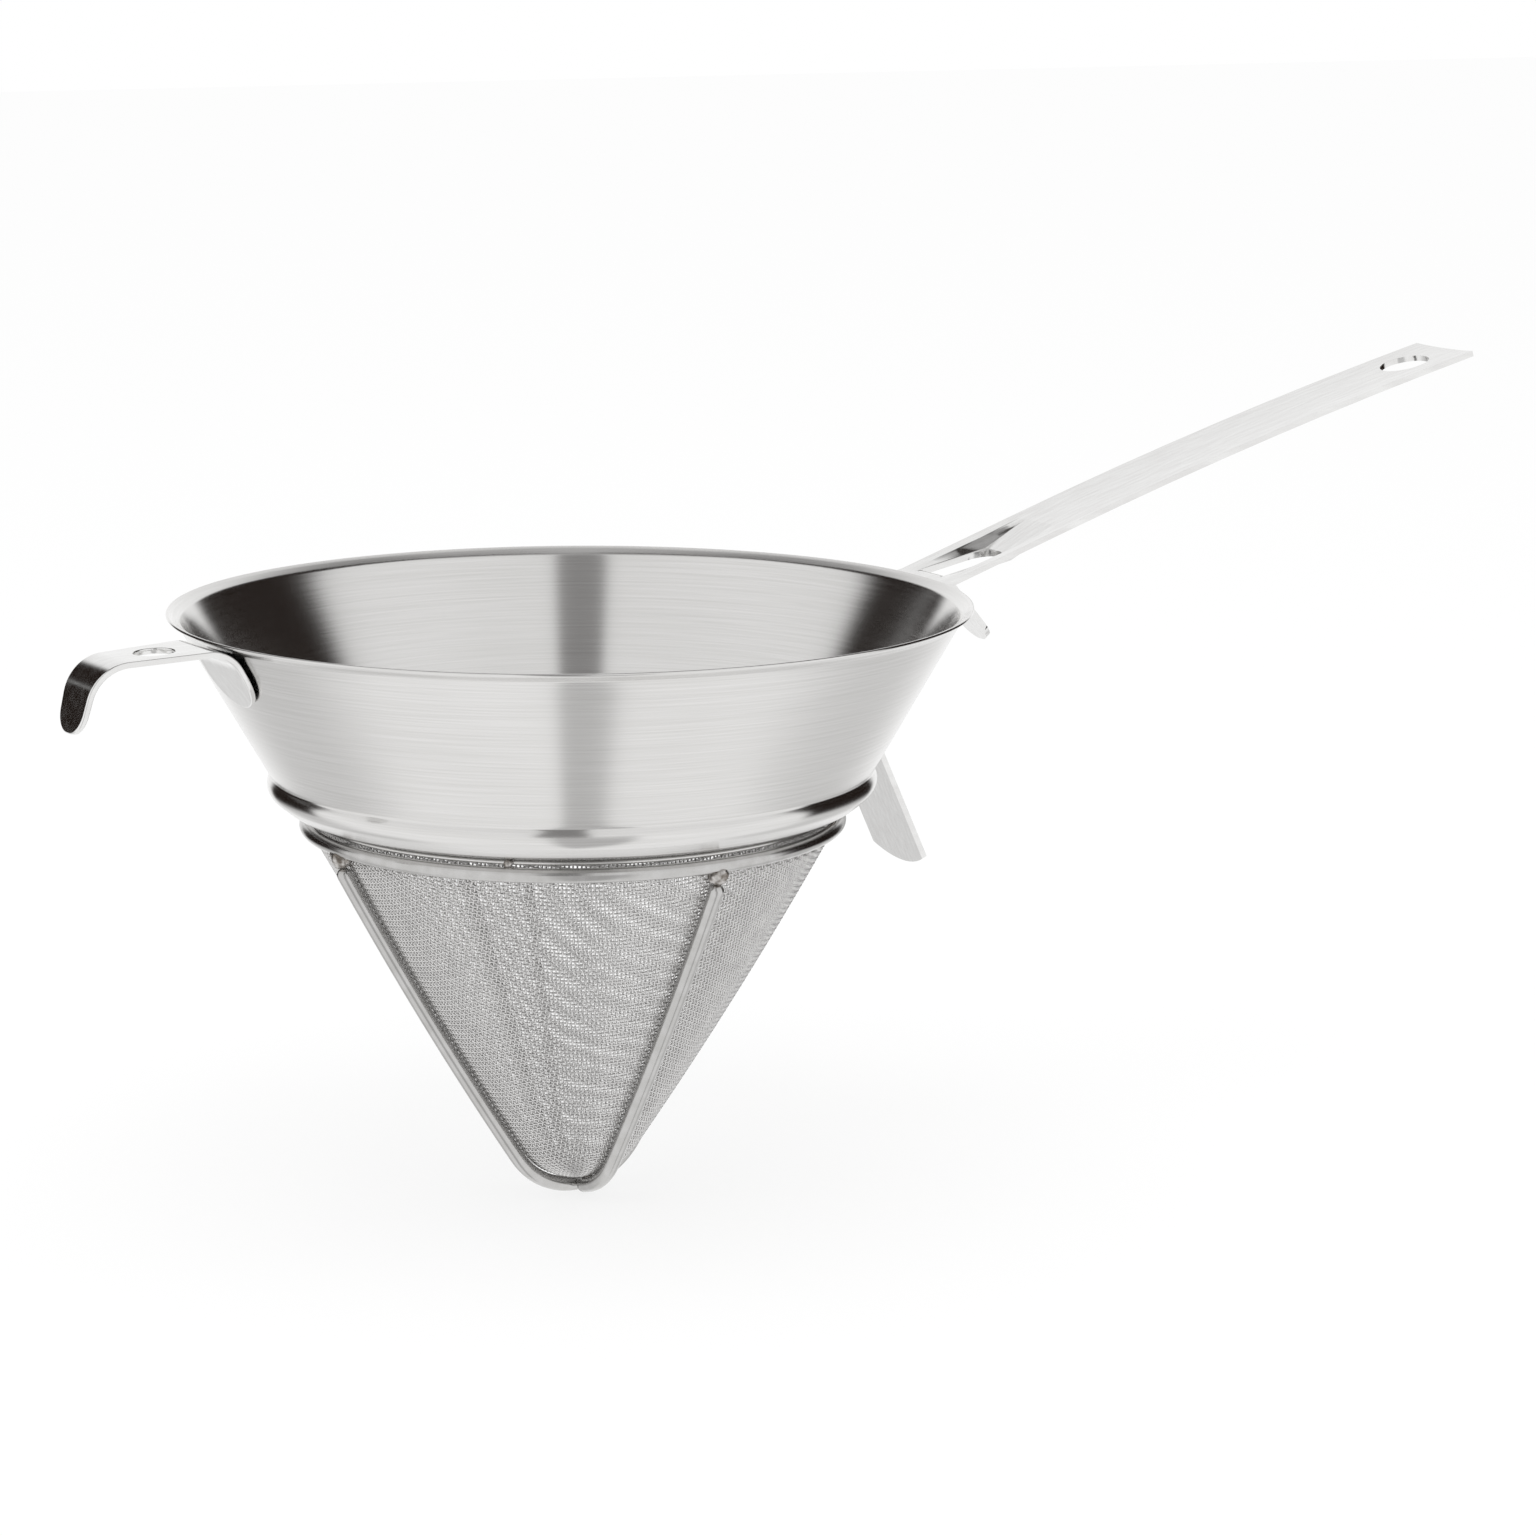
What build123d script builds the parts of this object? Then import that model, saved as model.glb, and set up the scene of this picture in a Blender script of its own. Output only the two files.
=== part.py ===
from build123d import *
import math
import os

# Chinois strainer: a spun bowl, a fine mesh cone in a wire guard, a strip handle and a front hook.
# Lengths are millimetres. The origin is the middle of the mouth, +Z is up, the handle runs along +X.

# Sheet and fits shared by the pieces
sheet = 0.8
strip = 1.5
seat_gap = 0.3
run_room_share = 0.85

# Bowl, measured on its outer face
mouth_radius = 100.0
lip_reach = 2.9
lip_rise = 1.75
lip_round_radius = 1.2
crease_radius = 75.1
crease_depth = 41.2
crease_round_radius = 0.8
bead_reach = 2.0
bead_height = 3.3
bead_round_radius = 3.4
step_height = 6.5
step_round_radius = 4.0
neck_radius = 65.2
neck_round_radius = 0.9
neck_height = 1.2
step_reach_share = 0.5
step_drop_share = 0.72

# Mesh cone
mesh_sheet = 0.6
collar_height = 5.0
cone_start_drop = 2.0
cone_bulge = 1.0
cap_edge_radius = 15.5
cap_edge_depth = 138.6

# Plain grid of openings down the cone, coarser than the cloth that it stands for
grid_columns = 20
grid_rows = 9
grid_opening_share = 0.6
grid_cutter_sheets = 4

# Band that holds the mesh inside the neck
band_sheet = 0.8
band_height = 4.5

# Wire guard
ring_wire = 3.6
ring_fit = 0.6
rod_wire = 3.8
rod_count = 4
rod_turn_angle = 5.0
long_rod_overrun = 4.2
rod_weld_radius = 2.6
tip_weld_radius = 2.5
tack_weld_radius = 1.1
tack_crook_shares = (0.7, 0.35)

# Handle strip: leg down the wall, foot tongue below, slotted trough at the rim, then the grip
handle_width = 25.0
handle_reach = 168.0
handle_rise = 50.5
handle_root_angle = 19.0
web_angle = 12.0
rim_bend_radius = 8.0
root_land = 1.0
dish_depth = 0.37
slot_width = 11.6
slot_reach = 24.5
trough_runout = 12.5
trough_crease_inset = 3.6
web_land = 0.6
pressed_shares = (0, 0.15, 1, 1)
hang_hole = 13.5
hang_hole_inset = 14.0
foot_depth = 36.5
foot_angle = 24.4
foot_bend_radius = 6.0
foot_length = 42.5
foot_end_crown = 3.0

# Tab cut from the slot and bent down outside the pot's rim
tab_width = 11.0
tab_hinge_land = 0.8
tab_bend_radius = 4.0
tab_angle = 50.0
tab_length = 23.3
tab_root = 1.5

# Front hook strip, which narrows from its leg to its tip
hook_turn_angle = 4.1
hook_blank_width = 30.0
hook_rim_width = 20.8
hook_taper_angle = 5.1
hook_leg_depth = 16.3
hook_root_bend_radius = 9.2
hook_plate_angle = 2.0
hook_plate_reach = 31.7
hook_bend_radius = 11.1
hook_tip_angle = 15.4
hook_tip_length = 17.1
hook_hole = 9.8
hook_hole_reach = 13.6
round_end_share = 0.96

# Spot welds that hold the two strips on the wall
spot_radius = 2.5
spot_overrun = 0.9
handle_spot_shares = (0.34, 0.56, 0.78)
hook_spot_shares = (0.54, 0.78)

# Length by which a cutting tool passes the faces that it cuts
cut_overrun = 20.0

# Places on the bowl's outer face, as radius and height
lip_slope = math.atan2(lip_rise, lip_reach)
lip_edge = Vector(mouth_radius, -sheet * math.cos(lip_slope))
lip_root = lip_edge - Vector(lip_reach, lip_rise)
crease = Vector(crease_radius, -crease_depth)
bead = crease + Vector(bead_reach, -bead_height)
neck_top = Vector(neck_radius, bead.Y - step_height)
neck_bottom = neck_top - Vector(0, neck_height)
step = Vector(
    neck_radius + (bead.X - neck_radius) * step_reach_share,
    bead.Y - step_height * step_drop_share,
)
wall_up = (lip_root - crease).normalized()
wall_out = Vector(wall_up.Y, -wall_up.X)

# Places on the mesh's outer face
mesh_radius = neck_radius - sheet - seat_gap
ring_radius = mesh_radius + ring_fit + ring_wire / 2
ring_height = neck_bottom.Y - seat_gap - ring_wire / 2
cone_top = Vector(mesh_radius, ring_height - ring_wire / 2 - cone_start_drop)
cone_foot = Vector(cap_edge_radius, -cap_edge_depth)
rod_offset = seat_gap + rod_wire / 2


def heading(angle):
    """Unit direction in the side view, in degrees above level."""
    return Vector(math.cos(math.radians(angle)), math.sin(math.radians(angle)))


def meeting(point, direction, other, other_direction):
    """Where two straight lines of the side view cross."""
    across = direction.X * other_direction.Y - direction.Y * other_direction.X
    apart = other - point
    along = (apart.X * other_direction.Y - apart.Y * other_direction.X) / across
    return point + direction * along


def side_view(face):
    """Stands a face drawn as radius and height up in the XZ plane."""
    return Plane.XZ * face


def ribbon(points, bends, thickness, width):
    """Strip of even width from the side view of its upper line, with its metal on the line's right."""
    line = FilletPolyline(*points, radius=bends)
    outline = offset(line, amount=thickness, side=Side.RIGHT)
    return extrude(side_view(make_face(outline)), amount=width / 2, both=True)


def turn_between(first, second):
    """Angle in radians between two directions."""
    return math.radians(first.get_angle(second))


def fitted_round(wanted, before, corner, after):
    """The wanted corner radius, or the largest that the shorter straight run beside it has room for."""
    run = min((corner - before).length, (after - corner).length)
    return min(wanted, run * run_room_share / math.tan(turn_between(corner - before, after - corner) / 2))


def shell_of_revolution(line, thickness):
    """Sheet turned about the axis, with its thickness on the right of its outer line."""
    outline = offset(line, amount=thickness, side=Side.RIGHT)
    return revolve(side_view(make_face(outline)), axis=Axis.Z)


def make_bowl():
    """Spun bowl: flared lip, conical wall, raised bead, rounded step and short neck."""
    corners = [lip_edge, lip_root, crease, bead, step, neck_top, neck_bottom]
    wanted = [lip_round_radius, crease_round_radius, bead_round_radius, step_round_radius, neck_round_radius]
    rounds = [fitted_round(*corner) for corner in zip(wanted, corners, corners[1:], corners[2:])]
    line = FilletPolyline(*corners, radius=rounds)
    return shell_of_revolution(line, sheet)


def cone_arc():
    """Centre, radius and end angles of the slightly bulged cone line of the mesh."""
    chord = cone_foot - cone_top
    half = chord.length / 2
    outward = Vector(-chord.Y, chord.X).normalized()
    radius = (half * half + cone_bulge * cone_bulge) / (2 * cone_bulge)
    centre = (cone_top + cone_foot) / 2 - outward * (radius - cone_bulge)
    top = math.atan2(cone_top.Y - centre.Y, cone_top.X - centre.X)
    foot = math.atan2(cone_foot.Y - centre.Y, cone_foot.X - centre.X)
    return centre, radius, top, foot


def cap_circle():
    """Centre and radius of the rounded tip, which carries on smoothly from the cone line."""
    centre, radius, top, foot = cone_arc()
    reach = cap_edge_radius / math.cos(foot)
    return Vector(0, cone_foot.Y - reach * math.sin(foot)), reach


def around(centre, radius, angle):
    """Point on a circle of the side view, with the angle in radians."""
    return centre + Vector(math.cos(angle), math.sin(angle)) * radius


def guard_line(away, past):
    """Cone line and tip line held away from the mesh, run past the axis by the given length."""
    centre, radius, top, foot = cone_arc()
    cap_centre, cap_radius = cap_circle()
    end = -math.pi / 2 - past / (cap_radius + away)
    cone = ThreePointArc(
        around(centre, radius + away, top),
        around(centre, radius + away, (top + foot) / 2),
        around(centre, radius + away, foot),
    )
    cap = ThreePointArc(
        around(cap_centre, cap_radius + away, foot),
        around(cap_centre, cap_radius + away, (foot + end) / 2),
        around(cap_centre, cap_radius + away, end),
    )
    return Wire([cone, cap])


def make_grid_cutters():
    """Cutters for the openings down the cone, which leave a bar under each rod."""
    centre, radius, top, foot = cone_arc()
    turn = (foot - top) / grid_rows
    height = abs(turn) * radius * grid_opening_share
    cutters = []
    for row in range(grid_rows):
        slope = top + turn * (row + 1 / 2)
        middle = around(centre, radius, slope)
        width = middle.X * 2 * math.pi / grid_columns * grid_opening_share
        tilt = Rot(0, -math.degrees(slope), 0)
        cutter = Pos(middle.X, 0, middle.Y) * tilt * Box(mesh_sheet * grid_cutter_sheets, width, height)
        for column in range(grid_columns):
            angle = rod_turn_angle + (column + 1 / 2) * 360 / grid_columns
            cutters.append(Rot(0, 0, angle) * cutter)
    return cutters


def make_mesh():
    """Mesh cone: collar inside the neck, then a bulged cone and rounded tip, open in a grid."""
    collar_top = Vector(mesh_radius, neck_bottom.Y + collar_height)
    outside = Wire([Line(collar_top, cone_top)] + guard_line(0, 0).edges())
    inner = guard_line(-mesh_sheet, 0)
    inner_radius = mesh_radius - mesh_sheet
    inside = Wire(
        [Line(Vector(inner_radius, collar_top.Y), inner @ 0)] + inner.edges()
    )
    top_edge = Line(outside @ 0, inside @ 0)
    tip_edge = Line(outside @ 1, inside @ 1)
    face = make_face(outside.edges() + inside.edges() + [top_edge, tip_edge])
    return revolve(side_view(face), axis=Axis.Z) - make_grid_cutters()


def make_band():
    """Flat band that clamps the mesh collar inside the neck."""
    outer = mesh_radius - mesh_sheet - seat_gap
    middle = neck_bottom.Y + band_height / 2
    ring = Circle(outer) - Circle(outer - band_sheet)
    return Pos(0, 0, middle) * extrude(ring, amount=band_height / 2, both=True)


def make_ring():
    """Round wire ring round the mesh, just under the neck."""
    return Pos(0, 0, ring_height) * Torus(ring_radius, ring_wire / 2)


def make_rod(past):
    """Guard rod down the mesh, from under the ring to the tip, that ends past the axis."""
    line = guard_line(rod_offset, past)
    upright = Wire([Plane.XZ * edge for edge in line.edges()])
    section = Plane(upright @ 0, z_dir=upright % 0) * Circle(rod_wire / 2)
    return sweep(section, path=upright)


def rod_angle(number):
    """Place of a guard rod round the axis, from the hook side on."""
    return 180 + rod_turn_angle + number * 360 / rod_count


def make_rods():
    """Long rod on the hook side, whose end tucks under the tip, and the rods that stop short of it."""
    side_stop = -(rod_wire / 2 + seat_gap)
    facing_stop = -(long_rod_overrun + seat_gap)
    stops = [long_rod_overrun, side_stop, facing_stop, side_stop]
    return [Rot(0, 0, rod_angle(n)) * make_rod(stops[n]) for n in range(rod_count)]


def make_rod_welds(ring, rods, mesh):
    """Weld blobs that join the rod tops to the ring."""
    rod_top = guard_line(rod_offset, 0) @ 0
    middle = (rod_top + Vector(ring_radius, ring_height)) / 2
    blobs = []
    for number, rod in enumerate(rods):
        blob = Pos(middle.X, 0, middle.Y) * Sphere(rod_weld_radius)
        blobs.append(Rot(0, 0, rod_angle(number)) * blob - ring - rod - mesh)
    return Compound(children=[blob.solid() for blob in blobs])


def make_tip_weld(rods, mesh):
    """Weld beads in the pockets where the rod ends meet under the mesh's tip."""
    cap_centre, cap_radius = cap_circle()
    height = cap_centre.Y - cap_radius - rod_offset
    blob = Rot(0, 0, rod_angle(0)) * Pos(-long_rod_overrun / 2, 0, height) * Sphere(tip_weld_radius)
    return Compound(children=(blob - rods - mesh).solids())


def make_tacks(ring, bowl):
    """Small tack welds in the crook between the neck and the guard ring, midway between the rods."""
    out, up = (tack_weld_radius * share for share in tack_crook_shares)
    tacks = []
    for number in range(rod_count):
        angle = rod_angle(number) + 180 / rod_count
        place = Rot(0, 0, angle) * Pos(neck_radius + out, 0, neck_bottom.Y + up)
        tack = place * Sphere(tack_weld_radius) - ring - bowl
        tacks.append(tack.solids().sort_by(SortBy.VOLUME)[-1])
    return Compound(children=tacks)


def leg_start():
    """A point of the line on which both strips lie against the wall."""
    return lip_root + wall_out * seat_gap


def leg_point(depth):
    """Point of the leg line at a depth below the rim."""
    start = leg_start()
    return start - wall_up * ((start.Y + depth) / wall_up.Y)


# Places on the handle's upper line
web_heading = heading(web_angle)
web_start = lip_edge - Vector(0, seat_gap)
rim_corner = meeting(leg_start(), wall_up, web_start, web_heading)
rim_tangent = rim_bend_radius * math.tan(turn_between(wall_up, web_heading) / 2)


def web_point(radius):
    """Point of the slotted web's upper face at a distance from the axis."""
    return web_start + web_heading * ((radius - web_start.X) / web_heading.X)


trough_start = web_point(rim_corner.X + rim_tangent * web_heading.X + root_land)
trough_deep = web_point(mouth_radius + slot_reach)
root_heading = heading(handle_root_angle)


def edge_point(radius):
    """Point of the trough's raised edges at a distance from the axis."""
    return trough_start + root_heading * ((radius - trough_start.X) / root_heading.X)


trough_end = edge_point(mouth_radius + slot_reach + trough_runout)
handle_end = Vector(mouth_radius + handle_reach, handle_rise)


def section_places():
    """Places across half of the strip at which its cross-section has a corner, from the edge in."""
    half = handle_width / 2
    return (half, half - trough_crease_inset, slot_width / 2 + web_land, 0)


def dish_shares():
    """Shares of the dish's depth at those places, on a smooth shallow hollow."""
    half = handle_width / 2
    return [1 - (place / half) ** 2 for place in section_places()]


def strip_section(depth, shares, drop):
    """Cross-section of the hollowed strip, drawn across and up from the line of its edges."""
    top = [Vector(place, -depth * share) for place, share in zip(section_places(), shares)]
    top += [Vector(-corner.X, corner.Y) for corner in reversed(top[:-1])]
    bottom = [corner - Vector(0, drop) for corner in reversed(top)]
    return make_face(Polyline(*top, *bottom, close=True))


def upright_section(place, depth, shares, slope):
    """Cross-section of the strip in an upright plane across the handle."""
    drop = strip / math.cos(math.radians(slope))
    plane = Plane(origin=(place.X, 0, place.Y), x_dir=(0, 1, 0), z_dir=(1, 0, 0))
    return plane * strip_section(depth, shares, drop)


def make_trough():
    """Pressed trough at the rim, which deepens to the slot's end and runs out beyond it."""
    deep_edge = edge_point(trough_deep.X)
    runout_dish = dish_depth / math.cos(math.radians(handle_root_angle))
    deep = deep_edge.Y - trough_deep.Y
    sections = [
        upright_section(trough_start, 0, pressed_shares, web_angle),
        upright_section(deep_edge, deep, pressed_shares, handle_root_angle),
        upright_section(trough_end, runout_dish, dish_shares(), handle_root_angle),
    ]
    return loft(sections, ruled=True)


def keep_beyond(shape, radius):
    """The part of a handle piece that lies beyond an upright plane."""
    plane = Plane(origin=(radius, 0, 0), z_dir=(1, 0, 0))
    return split(shape, bisect_by=plane, keep=Keep.TOP)


def keep_within(shape, radius):
    """The part of a handle piece that lies inside an upright plane."""
    plane = Plane(origin=(radius, 0, 0), z_dir=(1, 0, 0))
    return split(shape, bisect_by=plane, keep=Keep.BOTTOM)


def make_grip():
    """Shallow dished grip that bows gently up to its square end."""
    start = trough_end - root_heading * root_land
    line = TangentArc(trough_end, handle_end, tangent=root_heading)
    path = Wire([Plane.XZ * Line(start, trough_end), Plane.XZ * line])
    plane = Plane(origin=path @ 0, x_dir=(0, 1, 0), z_dir=path % 0)
    grip = sweep(plane * strip_section(dish_depth, dish_shares(), strip), path=path)
    end_heading = line % 1
    hole_place = handle_end - end_heading * hang_hole_inset
    hole_plane = Plane(
        origin=(hole_place.X, 0, hole_place.Y),
        z_dir=(-end_heading.Y, 0, end_heading.X),
    )
    hole = hole_plane * extrude(Circle(hang_hole / 2), amount=cut_overrun / 2, both=True)
    return keep_beyond(grip, trough_end.X) - hole


def make_leg_and_foot():
    """Leg down the wall with the bend at the rim above it and the foot tongue bent out below it."""
    foot_corner = leg_point(foot_depth)
    foot_heading = heading(foot_angle - 90)
    foot_tip = foot_corner + foot_heading * foot_length
    web_end = trough_start + web_heading * root_land
    points = [foot_tip, foot_corner, rim_corner, web_end]
    leg = ribbon(points, [foot_bend_radius, rim_bend_radius], strip, handle_width)
    half = handle_width / 2
    radius = (half * half + foot_end_crown * foot_end_crown) / (2 * foot_end_crown)
    plane = Plane(
        origin=(foot_tip.X, 0, foot_tip.Y),
        x_dir=(0, 1, 0),
        z_dir=(foot_heading.Y, 0, -foot_heading.X),
    )
    reach = cut_overrun + foot_end_crown
    blank = Pos(0, reach / 2 - foot_end_crown) * Rectangle(2 * handle_width, reach)
    crown = Pos(0, -radius) * Circle(radius)
    waste = extrude(plane * (blank - crown), amount=cut_overrun / 2, both=True)
    return keep_within(leg, trough_start.X) - waste


def make_slot():
    """Cutter for the slot that the tab leaves in the web."""
    start = trough_start.X + tab_hinge_land
    end = mouth_radius + slot_reach
    radius = slot_width / 2
    straight = end - radius - start
    outline = Pos(start + straight / 2, 0) * Rectangle(straight, slot_width)
    outline += Pos(end - radius, 0) * Circle(radius)
    return extrude(outline, amount=cut_overrun, both=True)


def make_tab():
    """Round-ended tab hinged at the slot's inner end and bent down outside the pot's rim."""
    down = heading(-tab_angle)
    hinge = web_point(trough_start.X + tab_hinge_land)
    run = tab_bend_radius * math.tan(turn_between(web_heading, down) / 2)
    corner = hinge + web_heading * run
    points = [hinge - web_heading * tab_root, corner, corner + down * tab_length]
    tab = ribbon(points, [tab_bend_radius], strip, tab_width)
    return round_low_end(tab, down)


def round_low_end(strip_solid, direction):
    """Rounds off the two corners at the end of a strip that points in a given direction."""
    along = Axis((0, 0, 0), (direction.X, 0, direction.Y))
    end_face = strip_solid.faces().sort_by(along)[-1]
    corners = end_face.edges().filter_by(Axis.Y, reverse=True)
    half_width = end_face.edges().filter_by(Axis.Y)[0].length / 2
    return fillet(corners, radius=half_width * round_end_share)


def make_handle():
    """One-piece handle strip."""
    strip_solid = make_leg_and_foot() + make_trough() + make_grip()
    return strip_solid - make_slot() + make_tab()


def narrow_sides(strip_solid, start, plate_heading, tip_heading):
    """Cuts both sides of a bent strip by planes, so that it narrows evenly along its plate and its tip."""
    narrowing = math.tan(math.radians(hook_taper_angle))
    for side in (1, -1):
        plate_edge = Vector(plate_heading.X, -side * narrowing, plate_heading.Y)
        tip_edge = Vector(tip_heading.X, -side * narrowing, tip_heading.Y)
        outward = tip_edge.cross(plate_edge) * -side
        plane = Plane(origin=(start.X, side * hook_rim_width / 2, start.Y), z_dir=outward)
        strip_solid = split(strip_solid, bisect_by=plane, keep=Keep.BOTTOM)
    return strip_solid


def make_hook():
    """Front hook strip: short leg on the wall, plate with a hole, and round-ended tip bent down."""
    plate_heading = heading(-hook_plate_angle)
    corner = meeting(leg_start(), wall_up, web_start, plate_heading)
    plate_end = web_start + plate_heading * (hook_plate_reach / plate_heading.X)
    tip_heading = heading(hook_tip_angle - 90)
    tip = plate_end + tip_heading * hook_tip_length
    points = [leg_point(hook_leg_depth), corner, plate_end, tip]
    hook = ribbon(points, [hook_root_bend_radius, hook_bend_radius], strip, hook_blank_width)
    hook = narrow_sides(hook, web_start, plate_heading, tip_heading)
    hook = round_low_end(hook, tip_heading)
    hook = round_low_end(hook, -wall_up)
    hole_place = web_start + plate_heading * (hook_hole_reach / plate_heading.X)
    plane = Plane(
        origin=(hole_place.X, 0, hole_place.Y),
        z_dir=(-plate_heading.Y, 0, plate_heading.X),
    )
    hole = plane * extrude(Circle(hook_hole / 2), amount=cut_overrun / 2, both=True)
    return Rot(0, 0, 180 + hook_turn_angle) * (hook - hole)


def make_spots(depths, turn, bowl, strip_solid):
    """Weld nuggets down the middle of a strip's leg, between it and the wall."""
    nuggets = []
    for depth in depths:
        place = leg_point(depth) - wall_out * seat_gap
        plane = Plane(origin=(place.X, 0, place.Y), z_dir=(wall_out.X, 0, wall_out.Y))
        disc = plane * extrude(Circle(spot_radius), amount=spot_overrun, both=True)
        nugget = Rot(0, 0, turn) * disc - bowl - strip_solid
        nuggets.append(nugget.solids().sort_by(SortBy.VOLUME)[-1])
    return Compound(children=nuggets)


def build_all():
    """Every piece of the strainer under its node's name."""
    bowl = make_bowl()
    mesh = make_mesh()
    ring = make_ring()
    rods = make_rods()
    handle = make_handle()
    hook = make_hook()
    handle_spot_depths = [foot_depth * share for share in handle_spot_shares]
    hook_spot_depths = [hook_leg_depth * share for share in hook_spot_shares]
    return {
        "bowl_shell": bowl,
        "mesh_cone": mesh,
        "mesh_clamp_band": make_band(),
        "guard_ring": ring,
        "guard_rod_hook_side": rods[0],
        "guard_rod_near_side": rods[1],
        "guard_rod_handle_side": rods[2],
        "guard_rod_far_side": rods[3],
        "guard_rod_welds": make_rod_welds(ring, rods, mesh),
        "guard_tip_weld": make_tip_weld(rods, mesh),
        "guard_ring_tacks": make_tacks(ring, bowl),
        "handle_strip": handle,
        "handle_spot_welds": make_spots(handle_spot_depths, 0, bowl, handle),
        "front_hook": hook,
        "hook_spot_welds": make_spots(hook_spot_depths, 180 + hook_turn_angle, bowl, hook),
    }


os.makedirs("parts", exist_ok=True)
for name, piece in build_all().items():
    export_step(piece, f"parts/{name}.step")
    print(name, round(piece.volume, 1))
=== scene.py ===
import math

import bmesh
import bpy
import numpy as np
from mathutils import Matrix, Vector, noise


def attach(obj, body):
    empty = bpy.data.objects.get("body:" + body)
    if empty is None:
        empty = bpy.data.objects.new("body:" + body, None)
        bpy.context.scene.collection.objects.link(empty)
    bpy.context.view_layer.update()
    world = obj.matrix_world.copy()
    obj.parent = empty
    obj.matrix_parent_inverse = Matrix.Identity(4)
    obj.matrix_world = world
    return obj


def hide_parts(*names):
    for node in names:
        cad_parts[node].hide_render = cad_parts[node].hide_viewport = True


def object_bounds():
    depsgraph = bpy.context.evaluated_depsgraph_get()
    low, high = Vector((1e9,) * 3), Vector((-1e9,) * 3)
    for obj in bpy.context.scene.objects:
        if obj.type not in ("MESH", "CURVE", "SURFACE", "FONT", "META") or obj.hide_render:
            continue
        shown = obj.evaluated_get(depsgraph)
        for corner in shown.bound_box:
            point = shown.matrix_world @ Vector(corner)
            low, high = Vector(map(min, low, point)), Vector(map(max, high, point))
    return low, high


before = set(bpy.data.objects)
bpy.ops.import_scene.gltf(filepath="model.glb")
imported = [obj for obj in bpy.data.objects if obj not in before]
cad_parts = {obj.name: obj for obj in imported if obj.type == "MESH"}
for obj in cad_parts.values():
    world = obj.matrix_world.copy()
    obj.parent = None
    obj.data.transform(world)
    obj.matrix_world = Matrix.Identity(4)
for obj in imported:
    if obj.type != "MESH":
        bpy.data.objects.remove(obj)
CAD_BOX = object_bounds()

# Chinois strainer: the finish of every surface, the woven wire cloth and the weld beads.
# Lengths are metres in the frame of the solids. The handle runs along +X, the hook near -X.
MM = 0.001
TURN = 2 * math.pi
QUARTER = math.pi / 2

# Camera: fitted to the mouth, bead, ring, rods and tip in the photograph
CAMERA_DISTANCE = 1.1
CAMERA_ELEVATION = math.radians(9.112)
HANDLE_ANGLE = math.radians(26.4)
CAMERA_PAN = math.radians(2.572)
CAMERA_TILT = math.radians(11.248)
CAMERA_LENS = 103.76
CAMERA_SENSOR = 36.0

# Bowl, measured on its outer face, as radius and height
SHEET = 0.8 * MM
BOWL_EDGE = 0.35 * MM
LIP_EDGE = (100.0 * MM, -0.685 * MM)
LIP_ROOT = (97.1 * MM, -2.435 * MM)
CREASE = (75.1 * MM, -41.2 * MM)
BEAD = (77.1 * MM, -44.5 * MM)
STEP = (71.15 * MM, -49.18 * MM)
NECK_TOP = (65.2 * MM, -51.0 * MM)
NECK_FOOT = (65.2 * MM, -52.2 * MM)
BOWL_ROUNDS = (1.2 * MM, 0.8 * MM, 3.4 * MM, 4.0 * MM, 0.9 * MM)
BOWL_LONGEST_RUN = 3 * MM
BOWL_SEGMENTS = 288

# Clamp band inside the neck
BAND_RADIUS = 63.2 * MM
BAND_SHEET = 0.8 * MM
BAND_TOP = -47.7 * MM
BAND_FOOT = -52.2 * MM
BAND_EDGE = 0.25 * MM
BAND_SEGMENTS = 192

# Wire cloth, laid flat, rolled to a cone and seamed on the far side
CLOTH_PITCH = 1.08 * MM
CLOTH_WIRE = 0.44 * MM
CLOTH_WIRE_SIDES = 5
CLOTH_SKIN = 0.6 * MM
CLOTH_RADIUS = 64.1 * MM
CLOTH_TOP = -58.1 * MM
CLOTH_COLLAR_TOP = -47.4 * MM
CLOTH_COLLAR_RUNS = 8
CLOTH_BULGE = 1.0 * MM
CAP_EDGE = (15.5 * MM, -138.6 * MM)
CLOTH_MIDDLE = math.radians(-104.4)
# The seam: how far its edges overlap, how deep the under edge lies, where it reaches full width
CLOTH_OVERLAP = 3.0 * MM
CLOTH_UNDERLAP_DEPTH = 2.2 * CLOTH_WIRE
CLOTH_SEAM_START = 24.0 * MM
# How far a wire strays from its straight line, over what length, and the seed of that
WIRE_SWAY = 0.05 * MM
WIRE_SWAY_LENGTH = 17 * MM
WIRE_SEED = 7
WIRE_LEAST_CROSSINGS = 3
LOW_WEFT_SHARE = 0.4

# Guard
RING_RADIUS = 66.5 * MM
RING_HEIGHT = -54.3 * MM
RING_WIRE = 3.6 * MM
RING_SEGMENTS = 240
ROD_WIRE = 3.8 * MM
ROD_GAP = 0.3 * MM
WIRE_SIDES = 24
# Each rod: its side, its place in degrees round the axis, how far it runs past the tip's middle
RODS = [
    ("hook_side", 185, 4.2 * MM),
    ("near_side", 275, -2.2 * MM),
    ("handle_side", 5, -4.5 * MM),
    ("far_side", 95, -2.2 * MM),
]
# Beads at the rods' tops: radius, share of it along their own axis, that axis' dip, seed
ROD_BEAD_RADIUS = 2.6 * MM
ROD_BEAD_SQUASH = 0.8
ROD_BEAD_DIP = 0.6
ROD_BEAD_SEED = 3.0

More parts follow.
